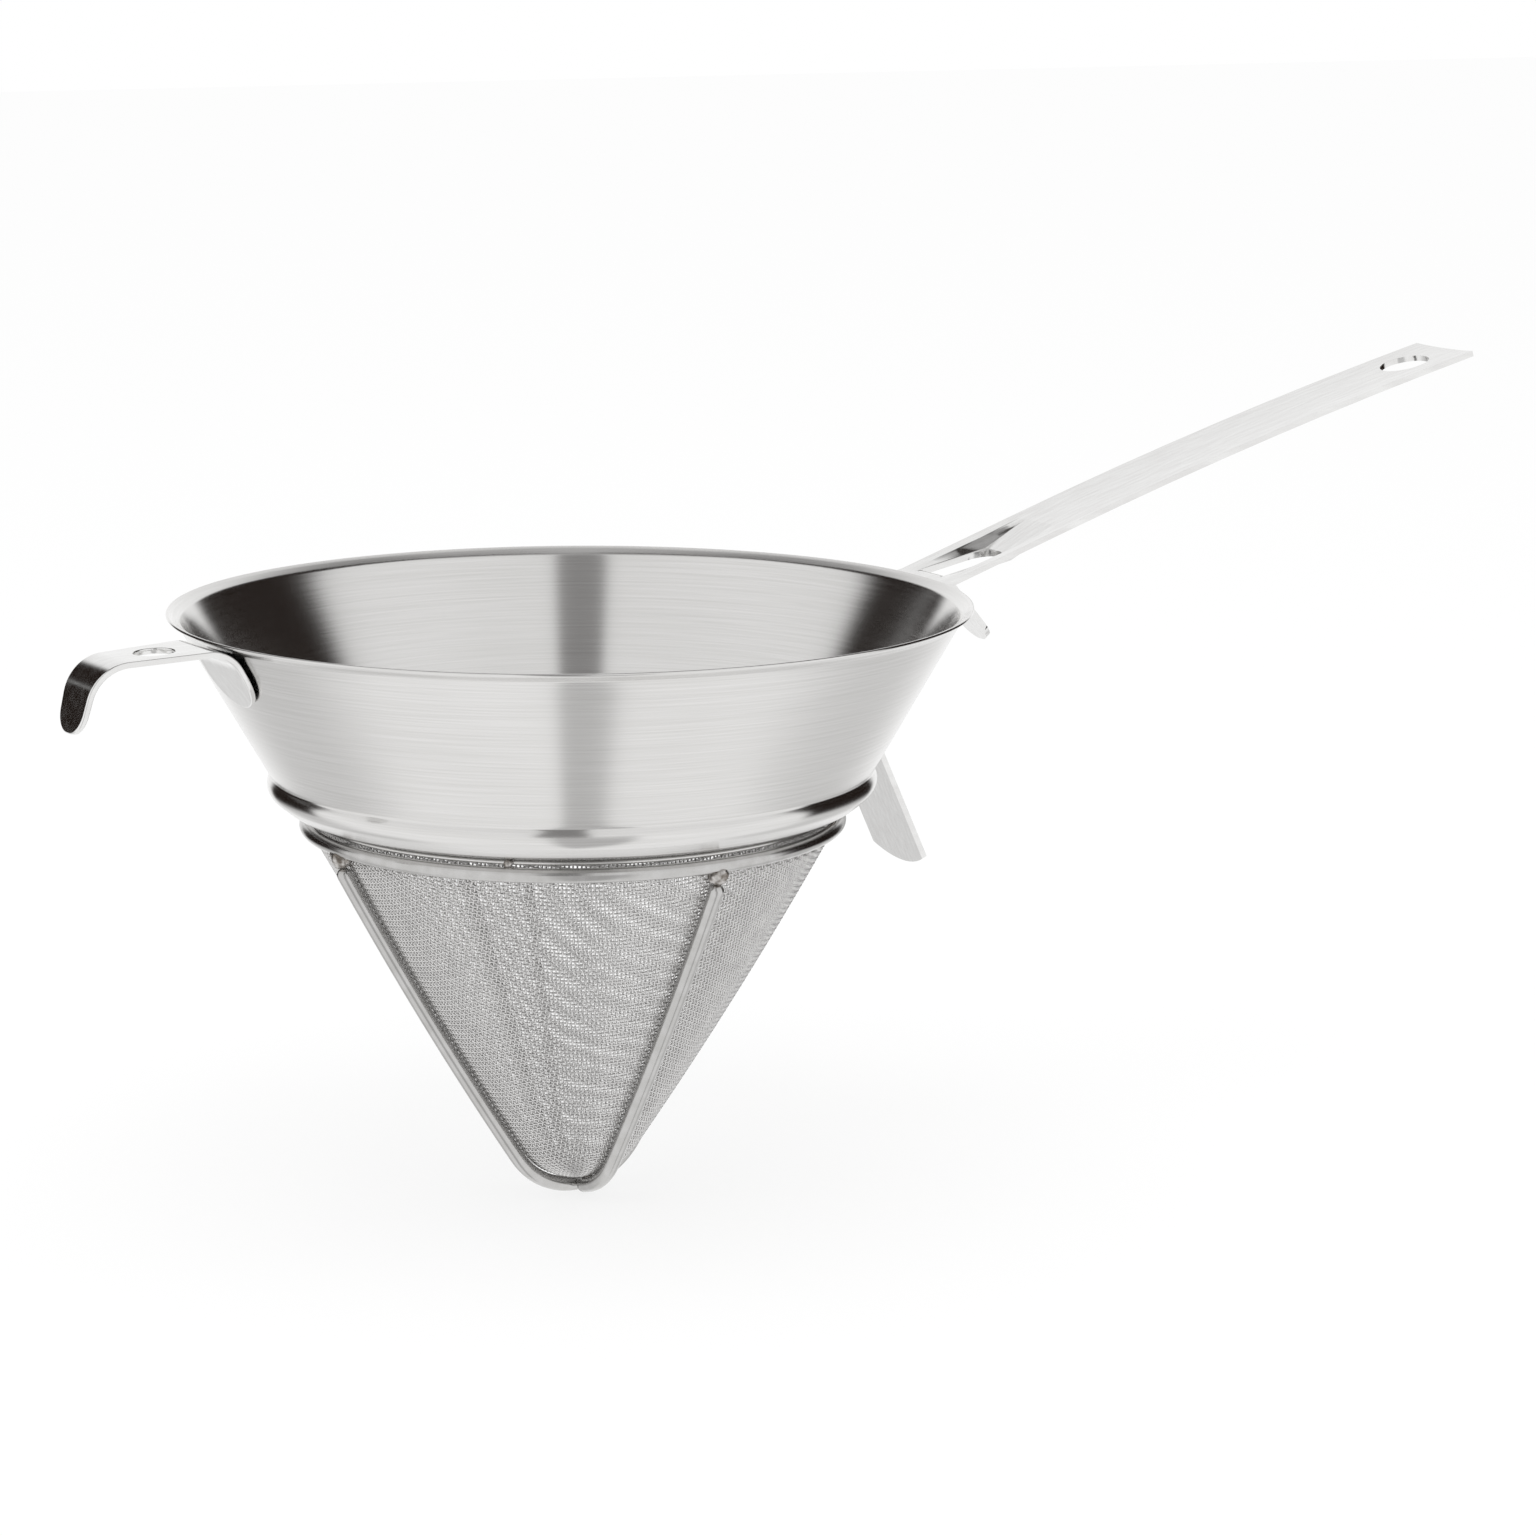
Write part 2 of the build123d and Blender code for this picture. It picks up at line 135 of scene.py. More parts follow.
# Strips: edges that turn more than this are rounded, save at the slot's far end
STRIP_EDGE = 0.38 * MM
CUT_EDGE_TURN = math.radians(35)
CREASE_TURN = math.radians(9)
FLAT_TURN = math.radians(0.4)
SAME_POINT = 0.002 * MM
FOLD_END = (118 * MM, 127 * MM)
FOLD_HALF = 9 * MM

# Studio that the steel mirrors, in degrees round from the camera's side and degrees up.
# Darkness is 1 where a gap is black. Upper panels: grey level, foot, head, soft edge
TOP_PANEL = (0.92, 20, 100, 12)
# Gap overhead: foot, head, soft edge, darkness
OVERHEAD = (66, 100, 6, 0.6)
# Gaps between the panels: start and end round, soft edge round, foot, head, darkness
GAPS = [
    (-14, 6, 2.5, 8, 64, 0.72),
    (-8, 23, 4, -100, 8, 0.42),
    (97, 152, 4, -16, 85, 1.0),
    (-153, -112, 4, -16, 85, 1.0),
    (104, 150, 14, -60, -12, 0.25),
    (-150, -104, 14, -60, -12, 0.3),
]
GAP_SOFT_UP = 7
# Lit slit across a black gap: start and end round, soft edge round, foot, head, grey level
SLIT = (-150, -112, 2, 14, 16, 0.3)
SLIT_SOFT_UP = 0.7
GAP_COLOUR = (0.014, 0.009, 0.007, 1.0)

# Floor and lamp
FLOOR_HALF = 6.0
FLOOR_DROP = 0.5 * MM
FLOOR_GLOW = 0.8
LAMP_PLACE = (-0.3, -0.5, 1.6)
LAMP_AIM = (0.0, 0.0, -0.05)
LAMP_SIZE = 1.2
LAMP_POWER = 9.0


def link(obj):
    bpy.context.scene.collection.objects.link(obj)
    return obj


def linear(code):
    """Linear colour of an sRGB hex value."""
    parts = [int(code[i : i + 2], 16) / 255 for i in (1, 3, 5)]
    return (*[p / 12.92 if p <= 0.04045 else ((p + 0.055) / 1.055) ** 2.4 for p in parts], 1.0)


def every(size):
    """Scale of a pattern that repeats about once in a length in millimetres."""
    return 1 / (size * MM)


def add(tree, kind, settings=None, inputs=None):
    """Adds a node with its settings, and its inputs as values or links."""
    made = tree.nodes.new(kind)
    for name, value in (settings or {}).items():
        setattr(made, name, value)
    for name, value in (inputs or {}).items():
        socket = made.inputs[name]
        if isinstance(value, bpy.types.NodeSocket):
            tree.links.new(value, socket)
        else:
            socket.default_value = value
    return made


# Outlines and turned pieces


def rounded_line(corners, rounds, step=math.radians(6)):
    """Points along straight runs whose inner corners are rounded by arcs."""
    points = [Vector(corners[0])]
    for before, corner, after, radius in zip(corners, corners[1:], corners[2:], rounds):
        corner = Vector(corner)
        back = (Vector(before) - corner).normalized()
        ahead = (Vector(after) - corner).normalized()
        turn = math.pi - back.angle(ahead)
        reach = radius * math.tan(turn / 2)
        middle = corner + (back + ahead).normalized() * (radius / math.cos(turn / 2))
        start = corner + back * reach - middle
        side = 1 if back.x * ahead.y - back.y * ahead.x < 0 else -1
        count = max(3, math.ceil(turn / step))
        for k in range(count + 1):
            angle = side * turn * k / count
            points.append(middle + Vector((
                start.x * math.cos(angle) - start.y * math.sin(angle),
                start.x * math.sin(angle) + start.y * math.cos(angle),
            )))
    points.append(Vector(corners[-1]))
    return points


def split_runs(points, longest):
    """Adds points so that no run is longer than the given length."""
    made = [points[0]]
    for a, b in zip(points, points[1:]):
        count = max(1, math.ceil((b - a).length / longest))
        made += [a.lerp(b, (k + 1) / count) for k in range(count)]
    return made


def sheet_outline(line, thickness, edge):
    """Closed outline of a sheet whose outer face follows a line, with its cut edges rounded."""
    normals = []
    for k in range(len(line)):
        along = (line[min(k + 1, len(line) - 1)] - line[max(k - 1, 0)]).normalized()
        normals.append(Vector((along.y, -along.x)))
    inner = [p + n * thickness for p, n in zip(line, normals)]

    def cap(outer_point, inner_point, along):
        """Rounded edge between the two faces at one end, from the outer face to the inner."""
        across = (inner_point - outer_point).normalized()
        made = []
        for centre, turned in ((outer_point + across * edge, 0), (inner_point - across * edge, 1)):
            for k in range(4):
                angle = QUARTER * (k / 3 + turned)
                way = along * math.sin(angle) - across * math.cos(angle)
                made.append(centre + (way - along) * edge)
        return made

    start = (line[0] - line[1]).normalized()
    end = (line[-1] - line[-2]).normalized()
    head = cap(line[0], inner[0], start)
    tail = cap(line[-1], inner[-1], end)
    return line[1:-1] + tail + inner[-2:0:-1] + head[::-1]


def turned_piece(name, outline, segments):
    """Mesh of a closed outline of radius and height, turned about the axis."""
    count = len(outline)
    verts = []
    for k in range(segments):
        angle = TURN * k / segments
        verts += [(p[0] * math.cos(angle), p[0] * math.sin(angle), p[1]) for p in outline]
    faces = []
    for k in range(segments):
        a, b = k * count, (k + 1) % segments * count
        for i in range(count):
            j = (i + 1) % count
            faces.append((a + i, a + j, b + j, b + i))
    mesh = bpy.data.meshes.new(name)
    mesh.from_pydata(verts, [], faces)
    finish_mesh(mesh)
    return link(bpy.data.objects.new(name, mesh))


def finish_mesh(mesh):
    """Turns every face outward and shades it smooth."""
    work = bmesh.new()
    work.from_mesh(mesh)
    bmesh.ops.recalc_face_normals(work, faces=work.faces)
    work.to_mesh(mesh)
    work.free()
    mesh.shade_smooth()


def seat(piece, nodes, material):
    """Rides a finished piece on the body, in the place of its solids, with its material."""
    piece.data.materials.clear()
    piece.data.materials.append(material)
    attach(piece, "root")
    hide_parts(*nodes)
    return piece


# Line of the cloth: the bulged cone and the rounded tip, or a line held away from them


def cone_arc():
    """Centre, radius and end angles of the bulged cone line."""
    top, foot = Vector((CLOTH_RADIUS, CLOTH_TOP)), Vector(CAP_EDGE)
    chord = foot - top
    outward = Vector((-chord.y, chord.x)).normalized()
    radius = ((chord.length / 2) ** 2 + CLOTH_BULGE**2) / (2 * CLOTH_BULGE)
    centre = (top + foot) / 2 - outward * (radius - CLOTH_BULGE)
    start, end = top - centre, foot - centre
    return centre, radius, math.atan2(start.y, start.x), math.atan2(end.y, end.x)


def cap_circle():
    """Centre and radius of the rounded tip."""
    foot_angle = cone_arc()[3]
    radius = CAP_EDGE[0] / math.cos(foot_angle)
    return Vector((0, CAP_EDGE[1] - radius * math.sin(foot_angle))), radius


def guard_line(away, past, cone_steps=24, cap_steps=16):
    """Points of radius and height down the cone and round the tip, ending past the axis."""
    centre, radius, top, foot = cone_arc()
    cap_centre, cap_radius = cap_circle()
    end = -QUARTER - past / (cap_radius + away)

    def on(middle, reach, angle):
        return middle + Vector((math.cos(angle), math.sin(angle))) * reach

    cone = [
        on(centre, radius + away, top + (foot - top) * k / cone_steps)
        for k in range(cone_steps)
    ]
    cap = [
        on(cap_centre, cap_radius + away, foot + (end - foot) * k / cap_steps)
        for k in range(cap_steps + 1)
    ]
    return cone + cap


# Woven wire cloth


def cloth_profile():
    """The cloth's middle line as flat distance from the apex, radius, height and outward normal."""
    line = guard_line(-CLOTH_SKIN / 2, 0, cone_steps=60, cap_steps=24)
    cone = sorted((abs(p.x), p.y) for p in line)
    chord = Vector((CLOTH_RADIUS - CAP_EDGE[0], CLOTH_TOP - CAP_EDGE[1]))
    share = chord.x / chord.length
    radius = [p[0] for p in cone]
    height = [p[1] for p in cone]
    flat = [r / share for r in radius]
    rim_radius, rim_height, rim_flat = radius[-1], height[-1], flat[-1]
    for k in range(1, CLOTH_COLLAR_RUNS + 1):
        rise = (CLOTH_COLLAR_TOP - rim_height) * k / CLOTH_COLLAR_RUNS
        radius.append(rim_radius)
        height.append(rim_height + rise)
        flat.append(rim_flat + rise)
    radius, height, flat = map(np.array, (radius, height, flat))
    along_r, along_z = np.gradient(radius), np.gradient(height)
    size = np.hypot(along_r, along_z)
    return share, flat, radius, height, along_z / size, -along_r / size


def seam_overlap(away):
    """Angle on the flat cutting that the seam's overlap takes, at a distance from the apex."""
    return CLOTH_OVERLAP / np.maximum(away, CLOTH_SEAM_START)


def woven_cloth():
    """Plain weave on the flat cutting, rolled to the cone: points and faces of each piece."""
    share, flat, radius, height, normal_r, normal_z = cloth_profile()
    reach = flat[-1]
    half_sector = math.pi * share
    count = math.ceil(reach / CLOTH_PITCH)
    index = np.arange(-count, count + 1)
    warp_no, weft_no = np.meshgrid(index, index, indexing="ij")
    x, y = weft_no * CLOTH_PITCH, warp_no * CLOTH_PITCH
    away = np.hypot(x, y)
    angle = np.arctan2(y, x)
    inside = (away < reach) & (angle > -half_sector) & (angle < half_sector + seam_overlap(away))
    over = np.where((warp_no + weft_no) % 2 == 0, 1.0, -1.0)

    def rolled(px, py, ph):
        """Places on the cone of places on the flat cutting."""
        s = np.hypot(px, py)
        t = np.arctan2(py, px)
        overlap = seam_overlap(s)
        ph = ph - np.clip((t - half_sector + 2 * overlap) / overlap, 0, 1) * CLOTH_UNDERLAP_DEPTH
        turn = CLOTH_MIDDLE + t / share
        r = np.interp(s, flat, radius) + np.interp(s, flat, normal_r) * ph
        z = np.interp(s, flat, height) + np.interp(s, flat, normal_z) * ph
        return np.stack([r * np.cos(turn), r * np.sin(turn), z], axis=-1)

    sides = CLOTH_WIRE_SIDES
    around = np.arange(sides) * TURN / sides
    wire_across = np.cos(around) * CLOTH_WIRE / 2
    wire_up = np.sin(around) * CLOTH_WIRE / 2
    wave = np.random.default_rng(WIRE_SEED).uniform(0, TURN, (2, 2 * count + 1))

    def wires(lengthwise, chosen):
        """Tubes along one set of wires, warp if lengthwise, for the wire numbers chosen."""
        points, faces = [], []
        start = 0
        for row in range(2 * count + 1):
            if not chosen(index[row]):
                continue
            mask = inside[row] if lengthwise else inside[:, row]
            side = over[row] if lengthwise else -over[:, row]
            ends = np.flatnonzero(np.diff(np.r_[0, mask.astype(int), 0]))
            for first, last in zip(ends[::2], ends[1::2]):
                crossings = last - first
                if crossings < WIRE_LEAST_CROSSINGS:
                    continue
                along = index[first:last] * CLOTH_PITCH
                stray = WIRE_SWAY * np.sin(along / WIRE_SWAY_LENGTH + wave[int(lengthwise), row])
                across = index[row] * CLOTH_PITCH + stray
                lift = side[first:last] * CLOTH_WIRE / 2
                a = np.repeat(along[:, None], sides, 1)
                b = across[:, None] + wire_across[None]
                h = lift[:, None] + wire_up[None]
                tube = rolled(a, b, h) if lengthwise else rolled(b, a, h)
                points.append(tube.reshape(-1, 3))
                i = np.arange(crossings - 1)[:, None] * sides
                j = np.arange(sides)[None]
                k = (j + 1) % sides
                quads = np.stack([i + j, i + k, i + sides + k, i + sides + j], axis=-1)
                faces.append(quads.reshape(-1, 4) + start)
                start += crossings * sides
        return np.concatenate(points), np.concatenate(faces)

    low = LOW_WEFT_SHARE * count
    return {
        "mesh_warp_wires_left": wires(True, lambda k: k < 0),
        "mesh_warp_wires_right": wires(True, lambda k: k >= 0),
        "mesh_weft_wires_low": wires(False, lambda k: k < low),
        "mesh_weft_wires_high": wires(False, lambda k: k >= low),
    }


def wire_piece(name, points, faces):
    """Mesh object from arrays of points and quads, with a flat map of one cell per face."""
    mesh = bpy.data.meshes.new(name)
    mesh.vertices.add(len(points))
    mesh.vertices.foreach_set("co", points.astype(np.float32).ravel())
    mesh.loops.add(faces.size)
    mesh.loops.foreach_set("vertex_index", faces.astype(np.int32).ravel())
    mesh.polygons.add(len(faces))
    mesh.polygons.foreach_set("loop_start", np.arange(0, faces.size, 4, dtype=np.int32))
    mesh.update(calc_edges=True)
    mesh.validate()
    cells = math.ceil(math.sqrt(len(faces)))
    cell = np.arange(len(faces))
    corner = np.array([(0.1, 0.1), (0.9, 0.1), (0.9, 0.9), (0.1, 0.9)])
    place = np.stack([cell % cells, cell // cells], axis=-1)[:, None] + corner[None]
    layer = mesh.uv_layers.new(name="OFBake")
    layer.uv.foreach_set("vector", (place / cells).astype(np.float32).ravel())
    finish_mesh(mesh)
    return link(bpy.data.objects.new(name, mesh))


# Round wires


def tube_piece(name, line, radius, round_end=6):
    """Round wire along points, with a half ball at each end."""
    start = (line[0] - line[1]).normalized()
    end = (line[-1] - line[-2]).normalized()
    head, tail = [], []
    for k in range(1, round_end):
        angle = QUARTER * k / round_end
        reach = start * radius * (math.cos(angle) - 1)
        head.append((line[0] + reach, -start, radius * math.sin(angle)))
        reach = end * radius * (math.sin(angle) - 1)
        tail.append((line[-1] + reach, end, radius * math.cos(angle)))
    body = [(line[0] - start * radius, -start, radius)]
    for before, point, after in zip(line, line[1:], line[2:]):
        body.append((point, (after - before).normalized(), radius))
    body.append((line[-1] - end * radius, end, radius))
    rings = head + body + tail
    side_way = Vector((0, 0, 1)).cross(line[0] - line[1]).normalized()
    verts = [line[0]]
    for centre, along, reach in rings:
        across = (side_way - along * side_way.dot(along)).normalized()
        up = along.cross(across)
        for s in range(WIRE_SIDES):
            angle = TURN * s / WIRE_SIDES
            verts.append(centre + (across * math.cos(angle) + up * math.sin(angle)) * reach)
    verts.append(line[-1])
    faces = []
    last = 1 + (len(rings) - 1) * WIRE_SIDES
    for s in range(WIRE_SIDES):
        t = (s + 1) % WIRE_SIDES
        faces.append((0, 1 + t, 1 + s))
        faces.append((len(verts) - 1, last + s, last + t))
        for a in range(1, last, WIRE_SIDES):
            b = a + WIRE_SIDES
            faces.append((a + s, a + t, b + t, b + s))
    mesh = bpy.data.meshes.new(name)
    mesh.from_pydata(verts, [], faces)
    finish_mesh(mesh)
    return link(bpy.data.objects.new(name, mesh))


def standing(line, angle):
    """Points of radius and height stood up at an angle round the axis."""
    return [Vector((p[0] * math.cos(angle), p[0] * math.sin(angle), p[1])) for p in line]


def bead_piece(name, places, size, squash, seed):
    """Lumpy weld beads at several places, as one mesh."""
    work = bmesh.new()
    for number, (place, way) in enumerate(places):
        made = bmesh.ops.create_icosphere(work, subdivisions=4, radius=1.0)
        turned = way.to_track_quat("Z", "Y").to_matrix()
        for vert in made["verts"]:
            p = vert.co.copy()
            lump = noise.noise(p * 1.6 + Vector((seed, number * 3.1, 0))) * 0.22
            ripple = noise.noise(p * 5.0 + Vector((number * 1.7, seed, 4))) * 0.06
            p *= 1 + lump + ripple
            p.z *= squash
            vert.co = place + turned @ (p * size)
    mesh = bpy.data.meshes.new(name)
    work.to_mesh(mesh)
    work.free()
    mesh.shade_smooth()
    return link(bpy.data.objects.new(name, mesh))


def in_fold(edge):
    """Whether an edge lies at the slot's far end, where the web runs out into the strip."""
    middle = (edge.verts[0].co + edge.verts[1].co) / 2
    return FOLD_END[0] < middle.x < FOLD_END[1] and abs(middle.y) < FOLD_HALF


def dressed_copy(node, name, edge):
    """Copy of a solid's mesh with its cut edges rounded and its creases kept sharp."""
    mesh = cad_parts[node].data.copy()
    mesh.name = name
    work = bmesh.new()
    work.from_mesh(mesh)
    bmesh.ops.remove_doubles(work, verts=work.verts, dist=SAME_POINT)
    bmesh.ops.dissolve_limit(work, angle_limit=FLAT_TURN, verts=work.verts, edges=work.edges)
    weights, creases = [], []
    for seam in work.edges:
        turn = seam.calc_face_angle() if len(seam.link_faces) == 2 else 0.0
        cut = turn > CUT_EDGE_TURN and not in_fold(seam)
        weights.append(float(cut))
        creases.append(turn > CREASE_TURN and not cut)
    work.to_mesh(mesh)
    work.free()
    mesh.attributes.new("bevel_weight_edge", "FLOAT", "EDGE").data.foreach_set("value", weights)
    mesh.shade_smooth()
    mesh.attributes.new("sharp_edge", "BOOLEAN", "EDGE").data.foreach_set("value", creases)
    piece = link(bpy.data.objects.new(name, mesh))
    bevel = piece.modifiers.new("cut edges", "BEVEL")
    bevel.width = edge
    bevel.segments = 3
    bevel.limit_method = "WEIGHT"
    bevel.harden_normals = False
    bevel.use_clamp_overlap = True
    smooth = piece.modifiers.new("even normals", "WEIGHTED_NORMAL")
    smooth.keep_sharp = True
    return piece


# Materials


def steel_tree(name, roughness, anisotropy=0.0):
    """Bare material with a metal shader, for one kind of steel finish."""
    material = bpy.data.materials.new(name)
    material.use_nodes = True
    tree = material.node_tree
    tree.nodes.clear()
    shader = add(tree, "ShaderNodeBsdfPrincipled", None, {
        "Metallic": 1.0, "Roughness": roughness, "Anisotropic": anisotropy,
    })
    add(tree, "ShaderNodeOutputMaterial", None, {"Surface": shader.outputs[0]})
    return material, tree, shader


def surface(tree, shader, tone, shades, height, strength, depth):
    """Leads two shades that follow a tone, and a fine relief, into a steel shader."""
    colour = add(tree, "ShaderNodeValToRGB", None, {"Fac": tone})
    for stop, (place, code) in zip(colour.color_ramp.elements, shades):
        stop.position = place
        stop.color = linear(code)
    bump = add(tree, "ShaderNodeBump", None, {
        "Strength": strength, "Distance": depth, "Height": height,
    })
    tree.links.new(colour.outputs[0], shader.inputs["Base Color"])
    tree.links.new(bump.outputs[0], shader.inputs["Normal"])


def spun_brushed_stainless():
    """Stainless sheet, spun and brushed round the axis: fine rings spread light up and down."""
    material, tree, shader = steel_tree("spun_brushed_stainless", 0.19, 0.9)
    place = add(tree, "ShaderNodeTexCoord").outputs["Object"]
    # Real brush lines are about 0.05 mm apart; drawn about 0.5 mm apart so that they show
    rings = add(tree, "ShaderNodeMapping", None, {
        "Vector": place, "Scale": (every(40), every(40), every(0.4545)),
    })
    fine = add(tree, "ShaderNodeTexNoise", None, {
        "Vector": rings.outputs[0], "Scale": 1.0, "Detail": 3.0, "Roughness": 0.6,
    }).outputs[0]
    cloud = add(tree, "ShaderNodeTexNoise", None, {
        "Vector": place, "Scale": every(45.45), "Detail": 2.0,
    }).outputs[0]
    tone = add(tree, "ShaderNodeMath", {"operation": "MULTIPLY_ADD"}, {
        0: cloud, 1: 0.35, 2: fine,
    }).outputs[0]
    surface(tree, shader, tone, [(0.35, "#D6D5D3"), (0.95, "#E6E5E4")], fine, 0.06, 0.05 * MM)
    gloss = add(tree, "ShaderNodeMapRange", None, {
        "Value": tone, "From Min": 0.3, "From Max": 1.0, "To Min": 0.17, "To Max": 0.21,
    })
    tangent = add(tree, "ShaderNodeTangent", {"direction_type": "RADIAL", "axis": "Z"})
    tree.links.new(gloss.outputs[0], shader.inputs["Roughness"])
    tree.links.new(tangent.outputs[0], shader.inputs["Tangent"])
    # A quarter turn, so that the brushing runs round the axis
    shader.inputs["Anisotropic Rotation"].default_value = 0.25
    return material


def satin_pressed_strip():
    """Cold-rolled stainless strip, pressed and tumbled: bright satin with faint rolling marks."""
    material, tree, shader = steel_tree("satin_pressed_strip", 0.16)
    place = add(tree, "ShaderNodeTexCoord").outputs["Object"]
    along = add(tree, "ShaderNodeMapping", None, {
        "Vector": place, "Scale": (every(16.67), every(1.111), every(3.333)),
    })
    rolled = add(tree, "ShaderNodeTexNoise", None, {
        "Vector": along.outputs[0], "Scale": 1.0, "Detail": 3.0, "Roughness": 0.6,
    }).outputs[0]
    tumbled = add(tree, "ShaderNodeTexNoise", None, {
        "Vector": place, "Scale": every(2.381), "Detail": 2.0,
    }).outputs[0]
    height = add(tree, "ShaderNodeMath", {"operation": "MULTIPLY_ADD"}, {
        0: tumbled, 1: 0.8, 2: rolled,
    }).outputs[0]
    surface(tree, shader, rolled, [(0.3, "#E2E1E0"), (0.7, "#EEEEED")], height, 0.06, 0.06 * MM)
    gloss = add(tree, "ShaderNodeMapRange", None, {
        "Value": tumbled, "From Min": 0.3, "From Max": 0.7, "To Min": 0.13, "To Max": 0.19,
    })
    tree.links.new(gloss.outputs[0], shader.inputs["Roughness"])
    return material


def drawn_wire(name, dark, light, roughness, dent):
    """Drawn stainless wire: satin grey with small dents from the die."""
    material, tree, shader = steel_tree(name, roughness)
    place = add(tree, "ShaderNodeTexCoord").outputs["Object"]
    dents = add(tree, "ShaderNodeTexNoise", None, {
        "Vector": place, "Scale": every(3.846), "Detail": 3.0,
    }).outputs[0]
    surface(tree, shader, dents, [(0.3, dark), (0.7, light)], dents, dent, 0.1 * MM)
    return material


def weld_bead_steel():
    """Weld metal left as laid: rougher and browner than the wire, with scale in its hollows."""
    material, tree, shader = steel_tree("weld_bead_steel", 0.34)
    place = add(tree, "ShaderNodeTexCoord").outputs["Object"]
    scale = add(tree, "ShaderNodeTexNoise", None, {
        "Vector": place, "Scale": every(1.4286), "Detail": 4.0,
    }).outputs[0]
    surface(tree, shader, scale, [(0.38, "#7D766F"), (0.62, "#CFCCC9")], scale, 0.5, 0.2 * MM)
    return material


# Camera, floor and light


def make_camera():
    data = bpy.data.cameras.new("camera")
    data.sensor_width = CAMERA_SENSOR
    data.lens = CAMERA_LENS
    camera = link(bpy.data.objects.new("camera", data))
    out = CAMERA_DISTANCE * math.cos(CAMERA_ELEVATION)
    camera.location = (
        -out * math.sin(HANDLE_ANGLE),
        -out * math.cos(HANDLE_ANGLE),
        CAMERA_DISTANCE * math.sin(CAMERA_ELEVATION),
    )
    turn = HANDLE_ANGLE + CAMERA_PAN
    ahead = Vector((
        math.sin(turn) * math.cos(CAMERA_TILT),
        math.cos(turn) * math.cos(CAMERA_TILT),
        -math.sin(CAMERA_TILT),
    ))
    camera.rotation_mode = "QUATERNION"
    camera.rotation_quaternion = ahead.to_track_quat("-Z", "Y")
    bpy.context.scene.camera = camera


def make_floor():
    """Plain white floor that shows white to the camera and keeps a soft shadow."""
    level = CAD_BOX[0].z - FLOOR_DROP
    mesh = bpy.data.meshes.new("floor")
    sides = ((-1, -1), (1, -1), (1, 1), (-1, 1))
    corners = [(x * FLOOR_HALF, y * FLOOR_HALF, level) for x, y in sides]
    mesh.from_pydata(corners, [], [(0, 1, 2, 3)])
    floor = link(bpy.data.objects.new("floor", mesh))
    material = bpy.data.materials.new("white_floor")
    material.use_nodes = True
    tree = material.node_tree
    tree.nodes.clear()
    path = add(tree, "ShaderNodeLightPath")
    seen = add(tree, "ShaderNodeMath", {"operation": "MAXIMUM"}, {
        0: path.outputs["Is Camera Ray"], 1: path.outputs["Is Glossy Ray"],
    })
    share = add(tree, "ShaderNodeMath", {"operation": "MULTIPLY"}, {
        0: seen.outputs[0], 1: FLOOR_GLOW,
    })
    matt = add(tree, "ShaderNodeBsdfDiffuse", None, {"Color": linear("#F4F4F4")})
    glow = add(tree, "ShaderNodeEmission", None, {"Color": (1, 1, 1, 1), "Strength": 1.0})
    mixed = add(tree, "ShaderNodeMixShader", None, {
        0: share.outputs[0], 1: matt.outputs[0], 2: glow.outputs[0],
    })
    add(tree, "ShaderNodeOutputMaterial", None, {"Surface": mixed.outputs[0]})
    mesh.materials.append(material)
    floor.visible_glossy = False


def band(tree, value, low, high, soft):
    """1 where a value lies between two limits, with soft edges."""
    rise = add(tree, "ShaderNodeMapRange", {"interpolation_type": "SMOOTHSTEP"}, {
        "Value": value, "From Min": low - soft, "From Max": low + soft,
    })
    fall = add(tree, "ShaderNodeMapRange", {"interpolation_type": "SMOOTHSTEP"}, {
        "Value": value, "From Min": high - soft, "From Max": high + soft,
        "To Min": 1.0, "To Max": 0.0,
    })
    return add(tree, "ShaderNodeMath", {"operation": "MULTIPLY"}, {
        0: rise.outputs[0], 1: fall.outputs[0],
    }).outputs[0]


def grey(level):
    """Colour of an even grey level."""
    return (level, level, level, 1.0)


def laid_over(tree, colour, shade, share, amount=1.0):
    """Colour with a shade laid over it, as far as a share times an amount goes."""
    factor = add(tree, "ShaderNodeMath", {"operation": "MULTIPLY"}, {0: share, 1: amount})
    # Inputs 6 and 7 and output 2 are this node's colours; the sockets before them are numbers
    return add(tree, "ShaderNodeMix", {"data_type": "RGBA"}, {
        0: factor.outputs[0], 6: colour, 7: shade,
    }).outputs[2]


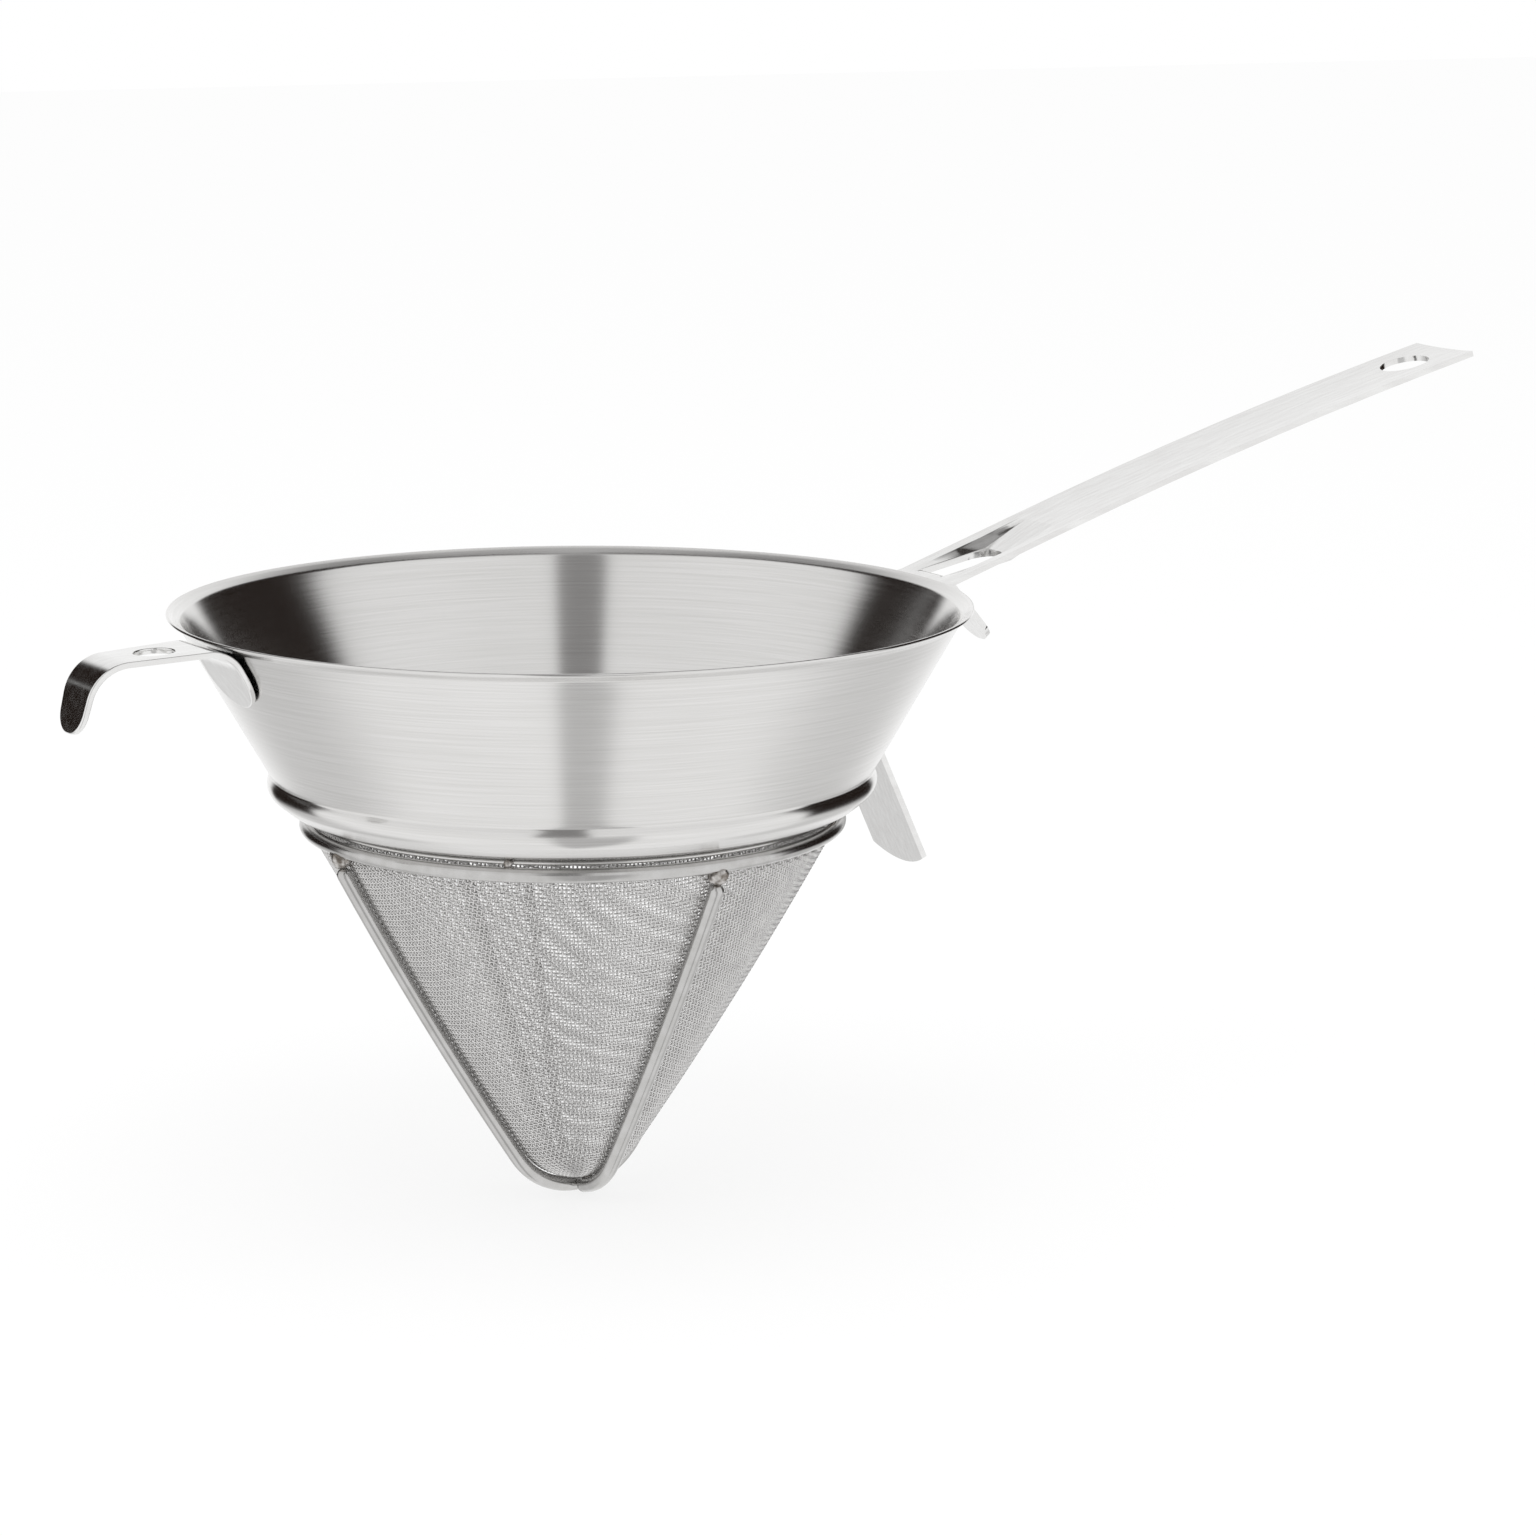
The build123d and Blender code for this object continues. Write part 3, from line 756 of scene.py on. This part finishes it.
def make_studio():
    """White studio all round, with the dark gaps between its soft panels that the steel shows."""
    world = bpy.data.worlds.new("studio")
    bpy.context.scene.world = world
    world.use_nodes = True
    tree = world.node_tree
    tree.nodes.clear()
    way = add(tree, "ShaderNodeTexCoord").outputs["Generated"]
    turned = add(tree, "ShaderNodeVectorRotate", {"rotation_type": "Z_AXIS"}, {
        "Vector": way, "Angle": HANDLE_ANGLE,
    })
    parts = add(tree, "ShaderNodeSeparateXYZ", None, {0: turned.outputs[0]})
    back = add(tree, "ShaderNodeMath", {"operation": "MULTIPLY"}, {0: parts.outputs["Y"], 1: -1.0})
    # Degrees round from the camera's side, and degrees up from the horizon
    around = add(tree, "ShaderNodeMath", {"operation": "ARCTAN2"}, {
        0: parts.outputs["X"], 1: back.outputs[0],
    })
    up = add(tree, "ShaderNodeMath", {"operation": "ARCSINE"}, {0: parts.outputs["Z"]})
    around, up = (
        add(tree, "ShaderNodeMath", {"operation": "DEGREES"}, {0: angle.outputs[0]}).outputs[0]
        for angle in (around, up)
    )

    def patch(first, last, soft, low, high, soft_up):
        """1 inside a soft-edged patch of the studio."""
        return add(tree, "ShaderNodeMath", {"operation": "MULTIPLY"}, {
            0: band(tree, around, first, last, soft), 1: band(tree, up, low, high, soft_up),
        }).outputs[0]

    level, low, high, soft = TOP_PANEL
    colour = laid_over(tree, grey(1.0), grey(level), band(tree, up, low, high, soft))
    low, high, soft, dark = OVERHEAD
    colour = laid_over(tree, colour, GAP_COLOUR, band(tree, up, low, high, soft), dark)
    for *place, dark in GAPS:
        colour = laid_over(tree, colour, GAP_COLOUR, patch(*place, GAP_SOFT_UP), dark)
    *place, level = SLIT
    colour = laid_over(tree, colour, grey(level), patch(*place, SLIT_SOFT_UP))
    mirrored = add(tree, "ShaderNodeLightPath").outputs["Is Glossy Ray"]
    plain = laid_over(tree, grey(1.0), colour, mirrored)
    sky = add(tree, "ShaderNodeBackground", None, {"Color": plain, "Strength": 1.0})
    add(tree, "ShaderNodeOutputWorld", None, {"Surface": sky.outputs[0]})


def make_lamp():
    """Soft square lamp over the strainer, which lights the floor but isn't mirrored."""
    data = bpy.data.lights.new("top_softbox", "AREA")
    data.shape = "SQUARE"
    data.size = LAMP_SIZE
    data.energy = LAMP_POWER
    lamp = link(bpy.data.objects.new("top_softbox", data))
    lamp.visible_glossy = False
    lamp.location = LAMP_PLACE
    lamp.rotation_mode = "QUATERNION"
    lamp.rotation_quaternion = (Vector(LAMP_AIM) - Vector(LAMP_PLACE)).to_track_quat("-Z", "Y")


# The strainer


def make_bowl(material):
    """Spun bowl, with its cut edges rounded."""
    corners = [LIP_EDGE, LIP_ROOT, CREASE, BEAD, STEP, NECK_TOP, NECK_FOOT]
    line = split_runs(rounded_line(corners, BOWL_ROUNDS), BOWL_LONGEST_RUN)
    bowl = turned_piece("spun_bowl", sheet_outline(line, SHEET, BOWL_EDGE), BOWL_SEGMENTS)
    seat(bowl, ["bowl_shell"], material)


def make_clamp_band(material):
    """Band that holds the cloth's collar in the neck."""
    heights = (BAND_TOP, (BAND_FOOT + BAND_TOP) / 2, BAND_FOOT)
    line = [Vector((BAND_RADIUS, height)) for height in heights]
    ring = turned_piece("clamp_band", sheet_outline(line, BAND_SHEET, BAND_EDGE), BAND_SEGMENTS)
    seat(ring, ["mesh_clamp_band"], material)


def make_cloth(material):
    """Woven wires, in four pieces that each stay small enough for the export."""
    for name, (points, faces) in woven_cloth().items():
        seat(wire_piece(name, points, faces), ["mesh_cone"], material)


def make_guard(wire, weld):
    """Ring, four rods and the weld bead at each rod's top."""
    outline = []
    for k in range(WIRE_SIDES):
        angle = TURN * k / WIRE_SIDES
        outline.append(Vector((
            RING_RADIUS + RING_WIRE / 2 * math.cos(angle),
            RING_HEIGHT + RING_WIRE / 2 * math.sin(angle),
        )))
    ring = turned_piece("guard_ring_wire", outline, RING_SEGMENTS)
    seat(ring, ["guard_ring"], wire)
    tops = []
    for name, degrees, past in RODS:
        angle = math.radians(degrees)
        line = standing(guard_line(ROD_GAP + ROD_WIRE / 2, past), angle)
        rod = tube_piece(f"rod_{name}", line, ROD_WIRE / 2)
        seat(rod, [f"guard_rod_{name}"], wire)
        out = Vector((math.cos(angle), math.sin(angle), 0))
        on_ring = Vector((out.x * RING_RADIUS, out.y * RING_RADIUS, RING_HEIGHT))
        tops.append(((line[0] + on_ring) / 2, out - Vector((0, 0, ROD_BEAD_DIP))))
    beads = bead_piece("rod_weld_beads", tops, ROD_BEAD_RADIUS, ROD_BEAD_SQUASH, ROD_BEAD_SEED)
    seat(beads, ["guard_rod_welds"], weld)


def make_strips(material):
    """Handle and front hook, whose shapes are those of the solids."""
    for node in ("handle_strip", "front_hook"):
        strip = dressed_copy(node, f"{node}_dressed", STRIP_EDGE)
        seat(strip, [node], material)


def paint_welds(material):
    """Small welds, which stay as the solids have them."""
    for node in ("guard_tip_weld", "guard_ring_tacks", "handle_spot_welds", "hook_spot_welds"):
        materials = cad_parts[node].data.materials
        materials.clear()
        materials.append(material)


bpy.context.scene.view_settings.view_transform = "Standard"
make_camera()
make_floor()
make_studio()
make_lamp()

SPUN = spun_brushed_stainless()
STRIP = satin_pressed_strip()
ROD = drawn_wire("satin_drawn_wire", "#BFBEBC", "#CBCAC9", 0.2, 0.04)
CLOTH = drawn_wire("bright_fine_wire", "#D8D7D6", "#E4E3E2", 0.15, 0.0)
WELD = weld_bead_steel()

make_bowl(SPUN)
make_clamp_band(SPUN)
make_cloth(CLOTH)
make_guard(ROD, WELD)
make_strips(STRIP)
paint_welds(WELD)
